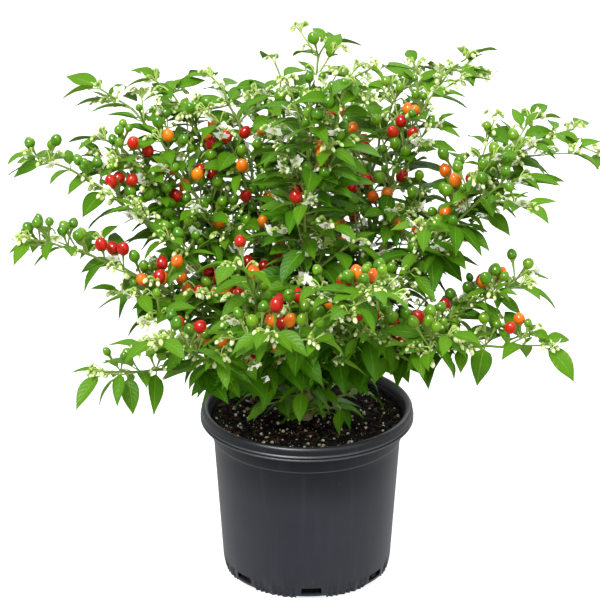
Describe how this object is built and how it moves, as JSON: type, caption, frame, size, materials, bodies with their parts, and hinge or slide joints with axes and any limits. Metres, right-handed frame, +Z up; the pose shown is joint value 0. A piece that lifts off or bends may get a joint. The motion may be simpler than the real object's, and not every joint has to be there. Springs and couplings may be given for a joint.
{
  "type": "potted chilli pepper plant",
  "caption": "Bushy chilli pepper plant with upright round berries, pointed leaves and small white flowers, growing in potting mix in a round moulded nursery pot with drainage slots.",
  "frame": {"origin": "centre of the pot's underside, on the ground", "axes": "+Z up along the pot's axis and the main stem, -Y towards the front"},
  "size_m": [0.4449, 0.3665, 0.4295],
  "materials": {
    "pot_plastic": "satin",
    "potting_mix": "matte",
    "bark": "matte",
    "green_wood": "satin",
    "leaf": "satin",
    "berry_green": "gloss",
    "berry_orange": "gloss",
    "berry_red": "gloss",
    "petal": "satin"
  },
  "bodies": {
    "root": {"nursery_pot": "pot_plastic", "potting_mix": "potting_mix", "main_stem": "bark", "limb_01": "green_wood", "leading_shoot_01": "leaf", "side_shoot_01": "leaf", "berries_01": "berry_green", "flowers_01": "petal", "limb_02": "green_wood", "leading_shoot_02": "leaf", "side_shoot_02": "leaf", "berries_02": "berry_red", "flowers_02": "petal", "limb_03": "green_wood", "leading_shoot_03": "leaf", "side_shoot_03": "leaf", "berries_03": "berry_orange", "flowers_03": "petal", "limb_04": "green_wood", "leading_shoot_04": "leaf", "side_shoot_04": "leaf", "berries_04": "berry_green", "flowers_04": "petal", "limb_05": "green_wood", "leading_shoot_05": "leaf", "side_shoot_05": "leaf", "berries_05": "berry_red", "limb_06": "green_wood", "leading_shoot_06": "leaf", "side_shoot_06": "leaf", "berries_06": "berry_green", "flowers_06": "petal", "limb_07": "green_wood", "leading_shoot_07": "leaf", "side_shoot_07": "leaf", "berries_07": "berry_orange", "flowers_07": "petal", "limb_08": "green_wood", "leading_shoot_08": "leaf", "side_shoot_08": "leaf", "berries_08": "berry_red", "flowers_08": "petal", "limb_09": "green_wood", "leading_shoot_09": "leaf", "side_shoot_09": "leaf", "berries_09": "berry_green", "flowers_09": "petal", "limb_10": "green_wood", "leading_shoot_10": "leaf", "side_shoot_10": "leaf", "berries_10": "berry_orange", "limb_11": "green_wood", "leading_shoot_11": "leaf", "side_shoot_11": "leaf", "berries_11": "berry_red", "limb_12": "green_wood", "leading_shoot_12": "leaf", "side_shoot_12": "leaf", "berries_12": "berry_red"}
  },
  "joints": []
}
